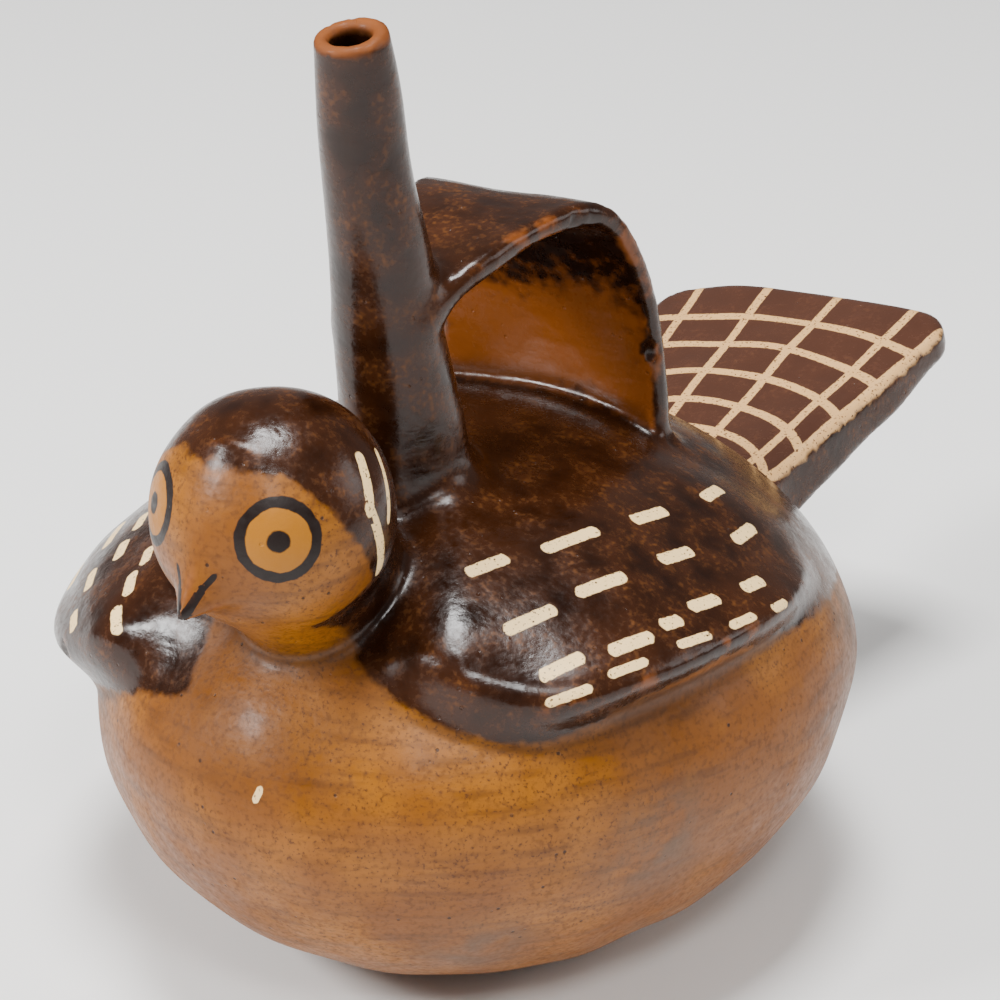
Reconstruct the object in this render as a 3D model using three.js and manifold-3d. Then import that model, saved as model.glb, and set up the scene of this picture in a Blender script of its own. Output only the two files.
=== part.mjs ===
// Bird effigy bottle: a hollow fired clay vessel in the form of a resting bird, with one tapered
// spout behind the head and a broad strap handle bridging from the spout to the back.
// The pot is one piece of clay. It is parted here at the foot of the spout and handle, where the
// potter joined them to the bird, so that the hollow of each part has a straight way out.
// Millimetres, +Z up, beak towards -Y, origin at the middle of the flat underside.
import * as THREE from 'three';
import { mergeVertices } from 'three/addons/utils/BufferGeometryUtils.js';
import Module from 'manifold-3d';

// Driving dimensions
const WALL = 5.5;
const PARTING = 0.3;
const BODY = { halfWidth: 77.3, front: 93.2, back: 77, rise: 49.5, drop: 62.6,
  centreY: 4.2, centreZ: 55.3, turnY: 25, turnZ: 22, shoulderPower: 1.85 };
const WING = { lean: 0.145, pivotZ: 75, lowerEdge: 66, swell: 9, lip: 4.5, lipRise: 6, lipRun: 13 };
const HEAD = { y: -69.3, z: 114.2, radius: 23.2, seam: 6 };
const BEAK = { tipY: -97.9, tipZ: 104, rootRadius: 27, tipRadius: 0.8, ridgePower: 1.45,
  sideSlim: 1.2, throatCut: 1.7, buried: 8 };
const NECK = { back: 9, below: 15, halfWidth: 17, halfLength: 19, halfHeight: 16 };
const TAIL = { rootY: 66, rootZ: 53.5, tipY: 148, tipZ: 81.3, rootHalfWidth: 25, tipHalfWidth: 41.5,
  rootHalfThick: 8, tipHalfThick: 3.4, roll: 0.135, arc: 3, cornerRadius: 9, buried: 14 };
const SPOUT = { footY: -25.5, footZ: 103, rimY: -42, rimZ: 199, footRadius: 12.9, rimRadius: 6.8,
  flare: 8, flareRun: 5, buried: 20, lipRound: 1.2, mouthRadius: 4, footWall: 3.2 };
const STRAP = { halfThick: 2.4, edgeRound: 1.5, tilt: 0.075, flare: 3.5 };
// Strap centre line from spout to back: half width, then Y and Z of each station
const STRAP_STATIONS = [
  [10.5, -33, 139.5], [14, -20, 146.8], [18.5, 0, 150.8], [23, 15, 147.6],
  [26, 24.5, 130], [27, 28.5, 109], [28.5, 28.5, 86],
];

// Mesh fineness
const BODY_STEPS = 60;
const HEAD_STEPS = 28;
const CAVITY_STEPS = 30;

const { abs, atan2, cos, exp, hypot, max, min, PI, sign, sin, sqrt, tanh } = Math;
const mix = (a, b, t) => a + (b - a) * t;
const clamp = (t, low, high) => min(max(t, low), high);

// Smooth step from 0 at `from` to 1 at `to`
function ease(from, to, value) {
  const t = clamp((value - from) / (to - from), 0, 1);
  return t * t * (3 - 2 * t);
}

// Lower of two distances with a fillet of about `run` where they meet
function blendMin(a, b, run) {
  const h = max(run - abs(a - b), 0) / run;
  return min(a, b) - (h * h * h * run) / 6;
}

// Approximate distance to an ellipsoid from its centre-relative position
function ellipsoid(x, y, z, rx, ry, rz) {
  const k = hypot(x / rx, y / ry, z / rz);
  const slope = hypot(x / rx ** 2, y / ry ** 2, z / rz ** 2);
  return (k * (k - 1)) / max(slope, 1e-9);
}

// Egg-shaped belly: 1 on the plain surface, less inside. Its length and height radii turn
// smoothly from front to back and from drop to rise.
function eggLevel(x, y, z) {
  const dy = y - BODY.centreY;
  const dz = z - BODY.centreZ;
  const upper = 0.5 + 0.5 * tanh(dz / BODY.turnZ);
  const length = mix(BODY.front, BODY.back, 0.5 + 0.5 * tanh(dy / BODY.turnY));
  const height = mix(BODY.drop, BODY.rise, upper);
  const power = mix(2, BODY.shoulderPower, upper);
  const sum = abs(x / BODY.halfWidth) ** power + abs(dy / length) ** power + abs(dz / height) ** power;
  return sum ** (1 / power);
}

// How far a wing stands proud over one point of the plain belly: a broad swelling that is fullest
// at the shoulder, and a thin lip along the lower edge that fades at the wing tip.
function wingSwell(x, y, z) {
  const side = x * cos(WING.lean) + (z - WING.pivotZ) * sin(WING.lean);
  const level = (z - WING.pivotZ) * cos(WING.lean) - x * sin(WING.lean) + WING.pivotZ;
  const meanLength = (BODY.front + BODY.back) / 2;
  const round = (atan2(abs(side) / BODY.halfWidth, (BODY.centreY - y) / meanLength) * 180) / PI;
  const edge = WING.lowerEdge + 12 * (1 - ease(14, 46, round)) - ease(60, 110, round);
  const above = level - edge;
  const shoulder = ease(8, 34, round) * (1 - 0.74 * ease(50, 98, round)) * (1 - ease(100, 122, round));
  const lipSpan = ease(34, 56, round) * (1 - ease(84, 112, round));
  const broad = ease(-3, 10, above) * (1 - ease(13, 46, above));
  const fall = clamp((above - WING.lipRise) / WING.lipRun, 0, 1);
  const lip = ease(0, WING.lipRise, above) * (1 - fall) ** 2;
  return WING.swell * shoulder * broad + WING.lip * lipSpan * lip;
}

// Signed radial height over the belly with its wings
function bodyForm(x, y, z) {
  const level = max(eggLevel(x, y, z), 0.2);
  const dy = y - BODY.centreY;
  const dz = z - BODY.centreZ;
  const reach = hypot(x, dy, dz);
  const swell = wingSwell(x / level, BODY.centreY + dy / level, BODY.centreZ + dz / level);
  return reach - reach / level - swell;
}

// The inside of the belly: the plain egg less the wall, with a flat floor one wall up
function cavityForm(x, y, z) {
  const reach = hypot(x, y - BODY.centreY, z - BODY.centreZ);
  const level = max(eggLevel(x, y, z), 0.2);
  return max(reach - reach / level + WALL, WALL - z);
}

// Round head, a ridged beak that runs out of it, and a short neck under it
function headForm(x, y, z) {
  const dy = y - HEAD.y;
  const dz = z - HEAD.z;
  const skull = hypot(x, dy, dz) - HEAD.radius;
  const axisY = BEAK.tipY - HEAD.y;
  const axisZ = BEAK.tipZ - HEAD.z;
  const length = hypot(axisY, axisZ);
  const along = (dy * axisY + dz * axisZ) / length;
  const across = (dy * axisZ - dz * axisY) / length;
  const depth = across < 0 ? -across * BEAK.throatCut : across;
  const breadth = abs(x) * BEAK.sideSlim;
  const off = (breadth ** BEAK.ridgePower + depth ** BEAK.ridgePower) ** (1 / BEAK.ridgePower);
  const radius = mix(BEAK.rootRadius, BEAK.tipRadius, clamp(along / length, 0, 1));
  const beak = max(off - radius, along - length, BEAK.buried - along);
  const { halfWidth, halfLength, halfHeight } = NECK;
  const neck = ellipsoid(x, dy - NECK.back, dz + NECK.below, halfWidth, halfLength, halfHeight);
  return blendMin(blendMin(skull, beak, HEAD.seam), neck, HEAD.seam);
}

// Slides every point of a unit sphere out along its ray until the form's formula is nought, and
// then by `beyond` more
function slideOut(sphere, centre, farthest, form, beyond = 0) {
  const points = sphere.attributes.position;
  const ray = new THREE.Vector3();
  for (let i = 0; i < points.count; i += 1) {
    ray.fromBufferAttribute(points, i).normalize();
    let low = 0;
    let high = farthest;
    for (let pass = 0; pass < 40; pass += 1) {
      const middle = (low + high) / 2;
      const level = form(centre.x + ray.x * middle, centre.y + ray.y * middle, centre.z + ray.z * middle);
      if (level < 0) low = middle;
      else high = middle;
    }
    const reach = low + beyond;
    points.setXYZ(i, centre.x + ray.x * reach, centre.y + ray.y * reach, centre.z + ray.z * reach);
  }
  return sphere;
}

// A unit sphere about Z. Each run of rings goes from one latitude to another, in degrees, in equal steps.
function ringedSphere(steps, runs) {
  const profile = [new THREE.Vector2(0, -1)];
  for (const [from, to, count] of runs) {
    for (let i = 1; i <= count; i += 1) {
      const latitude = (mix(from, to, i / count) * PI) / 180;
      profile.push(new THREE.Vector2(latitude > PI / 2 - 1e-6 ? 0 : cos(latitude), sin(latitude)));
    }
  }
  return new THREE.LatheGeometry(profile, steps).rotateX(PI / 2);
}

function makeBody(beyond) {
  const sphere = ringedSphere(BODY_STEPS, [[-90, 4, 11], [4, 28, 12], [28, 90, 8]]);
  sphere.rotateY(-WING.lean);
  return slideOut(sphere, new THREE.Vector3(0, BODY.centreY, BODY.centreZ), 120, bodyForm, beyond);
}

// The rings of the head are centred on the beak and crowd together towards its tip
function makeHead(beyond) {
  const sphere = ringedSphere(HEAD_STEPS, [[-90, 30, 12], [30, 70, 8], [70, 90, 5]]);
  const beakAxis = new THREE.Vector3(0, BEAK.tipY - HEAD.y, BEAK.tipZ - HEAD.z).normalize();
  sphere.applyQuaternion(new THREE.Quaternion().setFromUnitVectors(new THREE.Vector3(0, 0, 1), beakAxis));
  return slideOut(sphere, new THREE.Vector3(0, HEAD.y, HEAD.z), 60, headForm, beyond);
}

function makeCavity() {
  const sphere = ringedSphere(CAVITY_STEPS, [[-90, 90, 18]]);
  return slideOut(sphere, new THREE.Vector3(0, BODY.centreY, BODY.centreZ), 120, cavityForm);
}

// Bends a flat slab: `place` turns across, along and thickness (-1 to 1, 0 to 1, -1 to 1) into a point.
// The outermost rows lie `margin` inside the edge, so that the edges can be rounded.
function bentSlab(acrossSteps, alongSteps, margin, place) {
  const slab = new THREE.BoxGeometry(2, 1, 2, acrossSteps, alongSteps, 1);
  const points = slab.attributes.position;
  const inset = 1 - 2 / acrossSteps;
  for (let i = 0; i < points.count; i += 1) {
    const raw = points.getX(i);
    const inner = abs(raw) < 0.9999;
    const across = inner ? (raw / inset) * (1 - margin) : sign(raw);
    const point = place(across, points.getY(i) + 0.5, points.getZ(i) * (inner ? 1 : 0.4));
    points.setXYZ(i, point.x, point.y, point.z);
  }
  return slab;
}

// Fan-shaped tail plate, rising backwards, with a slightly arched trailing edge and round corners
function makeTail() {
  const root = new THREE.Vector3(0, TAIL.rootY, TAIL.rootZ);
  const along = new THREE.Vector3(0, TAIL.tipY - TAIL.rootY, TAIL.tipZ - TAIL.rootZ);
  const length = along.length();
  along.normalize();
  const across = new THREE.Vector3(cos(TAIL.roll), 0, 0);
  const normal = new THREE.Vector3(0, -along.z, along.y);
  across.addScaledVector(normal, sin(TAIL.roll));
  const up = normal.clone().multiplyScalar(cos(TAIL.roll)).setX(-sin(TAIL.roll));
  return bentSlab(12, 12, 0.07, (u, v, w) => {
    const t = clamp(v * 1.12 - 0.12, 0, 1);
    const width = mix(TAIL.rootHalfWidth, TAIL.tipHalfWidth, t);
    const corner = max(abs(u) * width - (width - TAIL.cornerRadius), 0);
    const cut = TAIL.cornerRadius - sqrt(max(TAIL.cornerRadius ** 2 - corner ** 2, 0));
    const end = length - TAIL.arc * u * u - cut;
    const distance = mix(-TAIL.buried, end, v);
    const edge = v > 0.999 ? 0.4 : 1;
    const thick = mix(TAIL.rootHalfThick, TAIL.tipHalfThick, clamp(distance / length, 0, 1)) * edge;
    return root.clone().addScaledVector(along, distance).addScaledVector(across, u * width)
      .addScaledVector(up, w * thick);
  });
}

// Strap handle: a slab bent along its centre line, thicker where it joins the spout and the back
function makeStrap() {
  const line = new THREE.CatmullRomCurve3(
    STRAP_STATIONS.map(([halfWidth, y, z]) => new THREE.Vector3(halfWidth, y, z)), false, 'catmullrom', 0.5);
  return bentSlab(6, 26, 0.1, (u, v, w) => {
    const here = line.getPoint(v);
    const heading = line.getTangent(v);
    const size = hypot(heading.y, heading.z);
    const flare = STRAP.flare * (ease(0.16, 0, v) + ease(0.8, 0.95, v));
    const lift = w * (STRAP.halfThick + flare);
    return new THREE.Vector3(u * here.x, here.y - (lift * heading.z) / size,
      here.z + (lift * heading.y) / size + u * here.x * STRAP.tilt);
  });
}

// Turns a solid made about +Y so that it stands on the spout's foot and leans along its axis
function onSpoutAxis(geometry) {
  const axis = new THREE.Vector3(0, SPOUT.rimY - SPOUT.footY, SPOUT.rimZ - SPOUT.footZ).normalize();
  const turn = new THREE.Quaternion().setFromUnitVectors(new THREE.Vector3(0, 1, 0), axis);
  return geometry.applyQuaternion(turn).translate(0, SPOUT.footY, SPOUT.footZ);
}

const spoutLength = hypot(SPOUT.rimY - SPOUT.footY, SPOUT.rimZ - SPOUT.footZ);
const spoutRadius = (height) => mix(SPOUT.footRadius, SPOUT.rimRadius, clamp(height / spoutLength, -0.2, 1));

function makeSpout() {
  const profile = [new THREE.Vector2(0, -SPOUT.buried)];
  const heights = [-20, -12, -6, -3, 0, 3, 6, 10, 16, 30, 55, 80];
  for (const height of heights) {
    const flare = SPOUT.flare * exp(-max(height + 6, 0) / SPOUT.flareRun);
    profile.push(new THREE.Vector2(spoutRadius(height) + flare, height));
  }
  profile.push(new THREE.Vector2(SPOUT.rimRadius, spoutLength - SPOUT.lipRound));
  profile.push(new THREE.Vector2(SPOUT.rimRadius - SPOUT.lipRound, spoutLength));
  profile.push(new THREE.Vector2(0, spoutLength));
  return onSpoutAxis(new THREE.LatheGeometry(profile, 28));
}

function makeBore() {
  const profile = [
    new THREE.Vector2(0, -SPOUT.buried - 6),
    new THREE.Vector2(SPOUT.footRadius - SPOUT.footWall, -SPOUT.buried - 6),
    new THREE.Vector2(SPOUT.footRadius - SPOUT.footWall, 0),
    new THREE.Vector2(SPOUT.mouthRadius, spoutLength - 12),
    new THREE.Vector2(SPOUT.mouthRadius, spoutLength + 4),
    new THREE.Vector2(0, spoutLength + 4),
  ];
  return onSpoutAxis(new THREE.LatheGeometry(profile, 20));
}

// Everything below the standing plane is cut away, which leaves the flat underside
function makeGround() {
  return new THREE.BoxGeometry(300, 300, 60).translate(0, 0, -30);
}

const wasm = await Module();
wasm.setup();

function toSolid(geometry) {
  const bare = geometry.clone();
  bare.deleteAttribute('normal');
  bare.deleteAttribute('uv');
  const merged = mergeVertices(bare, 1e-4);
  return new wasm.Manifold(new wasm.Mesh({
    numProp: 3,
    vertProperties: new Float32Array(merged.attributes.position.array),
    triVerts: new Uint32Array(merged.index.array),
  }));
}

function toGeometry(solid) {
  const mesh = solid.getMesh();
  const geometry = new THREE.BufferGeometry();
  geometry.setAttribute('position', new THREE.BufferAttribute(new Float32Array(mesh.vertProperties), 3));
  geometry.setIndex(new THREE.BufferAttribute(new Uint32Array(mesh.triVerts), 1));
  geometry.computeVertexNormals();
  return geometry;
}

const joined = (pieces) => pieces.map(toSolid).reduce((whole, piece) => whole.add(piece));
const cutFrom = (whole, pieces) => pieces.map(toSolid).reduce((rest, piece) => rest.subtract(piece), whole);

// The hollow bird with wings, head and tail, open where the spout stands on it
function makeBird() {
  return cutFrom(joined([makeBody(), makeHead(), makeTail()]), [makeCavity(), makeBore(), makeGround()]);
}

// The bored spout and the strap that springs from it, fitted to the bird's back and neck
function makeSpoutAndHandle() {
  return cutFrom(joined([makeSpout(), makeStrap()]), [makeBody(PARTING), makeHead(PARTING), makeBore()]);
}

// One clay and one slip all over, in a material for each mesh
function addMesh(group, name, solid) {
  const slipware = new THREE.MeshStandardMaterial({ color: 0x6b4a30, roughness: 0.42, metalness: 0 });
  const mesh = new THREE.Mesh(toGeometry(solid), slipware);
  mesh.name = name;
  group.add(mesh);
}

const group = new THREE.Group();
addMesh(group, 'bird_body', makeBird());
addMesh(group, 'spout_and_handle', makeSpoutAndHandle());

export default group;
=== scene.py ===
"""A burnished earthenware bottle in the form of a sitting bird, with one tapering spout behind the
head and a broad strap handle from the spout to the back. Iron slip covers the cap, wings, spout,
handle and tail; the face and belly are left ochre, and the feathers are dashed in cream."""

import math

import bpy
import numpy as np
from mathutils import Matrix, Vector


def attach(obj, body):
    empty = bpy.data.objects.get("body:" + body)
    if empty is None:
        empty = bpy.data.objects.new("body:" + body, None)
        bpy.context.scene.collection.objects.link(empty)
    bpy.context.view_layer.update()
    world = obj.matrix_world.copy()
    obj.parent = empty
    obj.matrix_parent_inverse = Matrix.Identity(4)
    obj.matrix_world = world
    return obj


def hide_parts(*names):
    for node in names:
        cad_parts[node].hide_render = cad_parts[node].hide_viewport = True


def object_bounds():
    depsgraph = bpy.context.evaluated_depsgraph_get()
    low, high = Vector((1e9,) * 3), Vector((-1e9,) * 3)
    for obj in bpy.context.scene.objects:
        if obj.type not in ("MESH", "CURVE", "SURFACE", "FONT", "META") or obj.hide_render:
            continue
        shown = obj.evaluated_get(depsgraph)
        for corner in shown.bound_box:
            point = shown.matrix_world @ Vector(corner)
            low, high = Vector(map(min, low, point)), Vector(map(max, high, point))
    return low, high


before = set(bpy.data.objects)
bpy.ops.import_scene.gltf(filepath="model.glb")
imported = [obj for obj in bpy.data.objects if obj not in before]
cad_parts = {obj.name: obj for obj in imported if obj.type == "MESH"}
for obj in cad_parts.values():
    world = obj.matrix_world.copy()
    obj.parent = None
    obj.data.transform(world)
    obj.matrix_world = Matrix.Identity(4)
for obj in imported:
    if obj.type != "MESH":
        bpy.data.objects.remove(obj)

CAD_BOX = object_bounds()

bl_info = {
    "name": "Bird Effigy Bottle",
    "version": (1, 0, 0),
    "blender": (4, 5, 0),
    "location": "3D View > Sidebar > Bottle",
    "description": "Builds a burnished bird bottle with painted slips, and a plain studio around it",
    "category": "Object",
}

MM = 0.001
BOX_LOW, BOX_HIGH = (np.array(corner) / MM for corner in CAD_BOX)

# ---------------------------------------------------------------- sizes of the form, in millimetres
# +Z up, beak towards -Y, the bird's left wing towards +X, origin at the middle of the flat base

BODY = dict(half_width=77.3, front=93.2, back=77.0, rise=49.5, drop=62.6, centre_y=4.2,
            centre_z=55.3, turn_y=25.0, turn_z=22.0, shoulder_power=1.85)
WING = dict(lean=0.145, pivot_z=75.0, lower_edge=66.0, breast_rise=12.0, lip_rise=6.0,
            lip_run=13.0)
HEAD = dict(y=-69.3, z=114.2, radius=23.2, seam=6.0)
BEAK = dict(tip_y=BOX_LOW[1], tip_z=104.0, root_radius=27.0, tip_radius=0.8, ridge_power=1.45,
            side_slim=1.2, throat_cut=1.7, buried=8.0)
NECK = dict(back=9.0, below=15.0, half_width=17.0, half_length=19.0, half_height=16.0)
TAIL = dict(root_y=66.0, root_z=53.5, tip_y=BOX_HIGH[1] - 0.7, tip_z=81.3, root_half_width=25.0,
            tip_half_width=41.5, root_half_thick=8.0, tip_half_thick=3.4, roll=0.135, arc=3.0,
            corner_radius=9.0, buried=14.0, edge_round=2.3, arc_half=38.0, bow=0.001)
SPOUT = dict(foot_y=-25.5, foot_z=103.0, rim_y=-42.0, rim_z=BOX_HIGH[2] - 0.95, foot_radius=12.9,
             rim_radius=6.8, buried=20.0, bore_foot_radius=9.7, mouth_depth=12.0,
             rim_round=1.6, mouth_flare=0.7, slant=0.995)
STRAP = dict(edge_round=2.0, tilt=0.075)
# Strap centre line from the spout to the back: half width, then Y and Z of each station
STRAP_STATIONS = [(10.5, -32, 139.5), (14, -20, 146.8), (18.5, 0, 150.8), (23, 15, 147.6),
                  (26, 24.5, 130), (27, 28.5, 109), (28.5, 28.5, 84)]
GAP_MIDDLE = (0.0, 2.0, 122.0)
FILLET = dict(head=10.0, tail=14.0, spout=10.0, strap=7.0, ground=4.0, floor=6.0, bore=4.0)
# Small losses along the edges: place, radius of the scoop, depth
CHIPS = [((25.6, 25.5, 117.9), 3.5, 1.1), ((-56.7, -66.5, 66.1), 3.0, 0.8),
         ((27.4, 28.0, 96.0), 3.0, 0.7), ((5.9, -44.5, 198.6), 1.8, 0.5),
         ((-41.0, 143.0, 74.0), 3.5, 0.9),
         ((-24.5, 18.0, 139.0), 3.0, 0.8), ((18.0, 5.0, 152.0), 2.5, 0.6)]


def mix(a, b, share):
    """a at share 0 and b at share 1, in a straight line between."""
    return a + (b - a) * share


def ease(start, end, value):
    """0 before start and 1 after end, with the smooth cubic 3t2 - 2t3 between."""
    t = np.clip((value - start) / (end - start), 0, 1)
    return t * t * (3 - 2 * t)


def blend_min(a, b, run):
    """The lesser of two distances, less a cubic fillet where they are within run of each other."""
    h = np.maximum(run - np.abs(a - b), 0) / run
    return np.minimum(a, b) - h ** 3 * run / 6


def blend_max(a, b, run):
    """The greater of two distances, with the same fillet."""
    return -blend_min(-a, -b, run)


def rounded_plate(across, through, half_through, corner):
    """Distance to a plate: across is the distance past its outline, less the corner, through the
    distance from its middle plane. A quarter circle of radius corner rounds its edges."""
    a, b = across + corner, np.abs(through) - (half_through - corner)
    return np.hypot(np.maximum(a, 0), np.maximum(b, 0)) + np.minimum(np.maximum(a, b), 0) - corner


# ---------------------------------------------------------------- the forms, as distances from clay


def egg(x, y, z):
    """The belly's level, 1 on its surface, and its slope. It is a superellipsoid whose length turns
    from front to back, and whose height and power turn from drop to rise, by a smooth tanh."""
    dy, dz = y - BODY["centre_y"], z - BODY["centre_z"]
    upper = 0.5 + 0.5 * np.tanh(dz / BODY["turn_z"])
    length = mix(BODY["front"], BODY["back"], 0.5 + 0.5 * np.tanh(dy / BODY["turn_y"]))
    height = mix(BODY["drop"], BODY["rise"], upper)
    power = mix(2.0, BODY["shoulder_power"], upper)
    tiny = 1e-6
    px, py, pz = (np.abs(x) / BODY["half_width"] + tiny, np.abs(dy) / length + tiny,
                  np.abs(dz) / height + tiny)
    level = (px ** power + py ** power + pz ** power) ** (1 / power)
    slope = np.sqrt((px ** (power - 1) / BODY["half_width"]) ** 2 + (py ** (power - 1) / length) ** 2
                    + (pz ** (power - 1) / height) ** 2) / level ** (power - 1)
    return level, slope


def wing_edge(around):
    """Height of the wing's lower edge: it rises at the breast and drops a little at the back."""
    return WING["lower_edge"] + WING["breast_rise"] * (1 - ease(14, 46, around)) - ease(60, 110, around)


def wing_frame(x, y, z):
    """A point's place on the leaning wings: side in mm from the spine, round in degrees from the
    breast to the tail, and height in mm above the wing's lower edge."""
    c, s = math.cos(WING["lean"]), math.sin(WING["lean"])
    side = x * c + (z - WING["pivot_z"]) * s
    level = (z - WING["pivot_z"]) * c - x * s + WING["pivot_z"]
    mean_length = (BODY["front"] + BODY["back"]) / 2
    around = np.degrees(np.arctan2(np.abs(side) / BODY["half_width"],
                                   (BODY["centre_y"] - y) / mean_length))
    return side, around, level - wing_edge(around)


def wing_swell(x, y, z, swell, lip):
    """How far the folded wings stand out: a broad swell that is fullest at the shoulder, and a thin
    lip along the lower edge that fades at the wing tip."""
    side, around, above = wing_frame(x, y, z)
    shoulder = ease(8, 34, around) * (1 - 0.74 * ease(50, 98, around)) * (1 - ease(100, 122, around))
    span = ease(34, 56, around) * (1 - ease(84, 112, around))
    broad = (ease(5, 30, np.hypot(side, y - BODY["centre_y"])) * ease(-3, 10, above)
             * (1 - ease(13, 46, above)))
    fall = np.clip((above - WING["lip_rise"]) / WING["lip_run"], 0, 1)
    return swell * shoulder * broad + lip * span * ease(0, WING["lip_rise"], above) * (1 - fall) ** 2


def body_form(x, y, z, swell, lip):
    """The belly with its wings: the distance along the ray from the belly's centre, less the swell."""
    level, slope = egg(x, y, z)
    held = np.maximum(level, 0.2)
    dy, dz = y - BODY["centre_y"], z - BODY["centre_z"]
    reach = np.sqrt(x * x + dy * dy + dz * dz) + 1e-6
    out = wing_swell(x / held, BODY["centre_y"] + dy / held, BODY["centre_z"] + dz / held, swell, lip)
    return (reach - reach / held - out) * np.clip(level / reach / slope, 0.3, 1)


def hollow_form(x, y, z, wall):
    """The hollow in the belly: the plain egg moved in by the wall, over a flat floor as thick."""
    level, slope = egg(x, y, z)
    dy, dz = y - BODY["centre_y"], z - BODY["centre_z"]
    reach = np.sqrt(x * x + dy * dy + dz * dz) + 1e-6
    inset = (reach - reach / np.maximum(level, 0.2) + wall) * np.clip(level / reach / slope, 0.3, 1)
    inset = np.where(level < 0.3, -BODY["rise"] / 2, inset)
    return blend_max(inset, wall - z, FILLET["floor"])


def head_form(x, y, z):
    """A round skull, a beak and a short neck. The beak is a cone about its own axis whose section is
    a power curve, so that it has a ridge above and is cut away below."""
    dy, dz = y - HEAD["y"], z - HEAD["z"]
    skull = np.sqrt(x * x + dy * dy + dz * dz) - HEAD["radius"]
    ay, az = BEAK["tip_y"] - HEAD["y"], BEAK["tip_z"] - HEAD["z"]
    length = math.hypot(ay, az)
    along, across = (dy * ay + dz * az) / length, (dy * az - dz * ay) / length
    depth = np.where(across < 0, -across * BEAK["throat_cut"], across)
    p = BEAK["ridge_power"]
    off = ((np.abs(x) * BEAK["side_slim"]) ** p + depth ** p + 1e-9) ** (1 / p)
    radius = mix(BEAK["root_radius"], BEAK["tip_radius"], np.clip(along / length, 0, 1))
    beak = np.maximum(np.maximum((off - radius) * 0.8, along - length), BEAK["buried"] - along)
    nx, ny, nz = x / NECK["half_width"], (dy - NECK["back"]) / NECK["half_length"], (
        dz + NECK["below"]) / NECK["half_height"]
    k = np.sqrt(nx ** 2 + ny ** 2 + nz ** 2)
    s = np.sqrt((nx / NECK["half_width"]) ** 2 + (ny / NECK["half_length"]) ** 2
                + (nz / NECK["half_height"]) ** 2)
    neck = k * (k - 1) / np.maximum(s, 1e-9)
    return blend_min(blend_min(skull, beak, HEAD["seam"]), neck, HEAD["seam"])


def tail_frame(x, y, z):
    """A point's place on the rolled tail: across, along and above its middle plane, and its half
    width there."""
    ay, az = TAIL["tip_y"] - TAIL["root_y"], TAIL["tip_z"] - TAIL["root_z"]
    length = math.hypot(ay, az)
    dy, dz = y - TAIL["root_y"], z - TAIL["root_z"]
    along, up = (dy * ay + dz * az) / length, (dz * ay - dy * az) / length
    c, s = math.cos(TAIL["roll"]), math.sin(TAIL["roll"])
    across, rise = x * c + up * s, up * c - x * s
    width = mix(TAIL["root_half_width"], TAIL["tip_half_width"], np.clip(along / length, 0, 1))
    return across, along, rise, width, length


def tail_form(x, y, z):
    """The fan of the tail: a plate with a widening outline, a slightly curved end, rounded corners
    and a thickness that thins towards the end."""
    across, along, rise, width, length = tail_frame(x, y, z)
    half_thick = mix(TAIL["root_half_thick"], TAIL["tip_half_thick"], np.clip(along / length, 0, 1))
    corner = TAIL["corner_radius"]
    end = length - (across / TAIL["arc_half"]) ** 2 * TAIL["arc"]
    a, b = np.abs(across) - (width - corner), along - (end - corner)
    outline = (np.hypot(np.maximum(a, 0), np.maximum(b, 0)) + np.minimum(np.maximum(a, b), 0)
               - corner)
    outline = np.maximum(outline, -TAIL["buried"] - along)
    return rounded_plate(outline, rise + across * across * TAIL["bow"], half_thick, TAIL["edge_round"])


def spout_frame(x, y, z):
    """Height up the spout's axis from its foot, distance from the axis, and the axis's length."""
    ay, az = SPOUT["rim_y"] - SPOUT["foot_y"], SPOUT["rim_z"] - SPOUT["foot_z"]
    length = math.hypot(ay, az)
    dy, dz = y - SPOUT["foot_y"], z - SPOUT["foot_z"]
    return (dy * ay + dz * az) / length, np.hypot(x, (dy * az - dz * ay) / length), length


def spout_form(x, y, z):
    """The spout: a cone about its leaning axis, cut flat at the rim."""
    height, off, length = spout_frame(x, y, z)
    radius = mix(SPOUT["foot_radius"], SPOUT["rim_radius"], np.clip(height / length, -0.3, 1))
    ends = np.maximum(height - length, -SPOUT["buried"] - height)
    return blend_max((off - radius) * SPOUT["slant"], ends, SPOUT["rim_round"])


def bore_form(x, y, z, mouth_radius):
    """The way through the spout: it narrows to the mouth's radius a little below the rim."""
    height, off, length = spout_frame(x, y, z)
    share = np.clip(height / (length - SPOUT["mouth_depth"]), -0.2, 1)
    radius = mix(SPOUT["bore_foot_radius"], mouth_radius, share)
    flare = SPOUT["mouth_flare"] * ease(length - 1.5, length + 0.6, height)
    return np.maximum(off - radius - flare, -SPOUT["buried"] - height)


def strap_line(parts=4):
    """The strap's centre line: a spline through the stations, each stretch cut in equal parts."""
    stations = np.array(STRAP_STATIONS, float)
    padded = np.vstack([2 * stations[0] - stations[1], stations, 2 * stations[-1] - stations[-2]])
    t = np.linspace(0, 1, parts, endpoint=False)[:, None]
    stretches = [0.5 * (2 * b + (c - a) * t + (2 * a - 5 * b + 4 * c - d) * t ** 2
                        + (3 * b - a - 3 * c + d) * t ** 3)
                 for a, b, c, d in zip(padded, padded[1:], padded[2:], padded[3:])]
    return np.vstack([*stretches, stations[-1:]])


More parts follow.
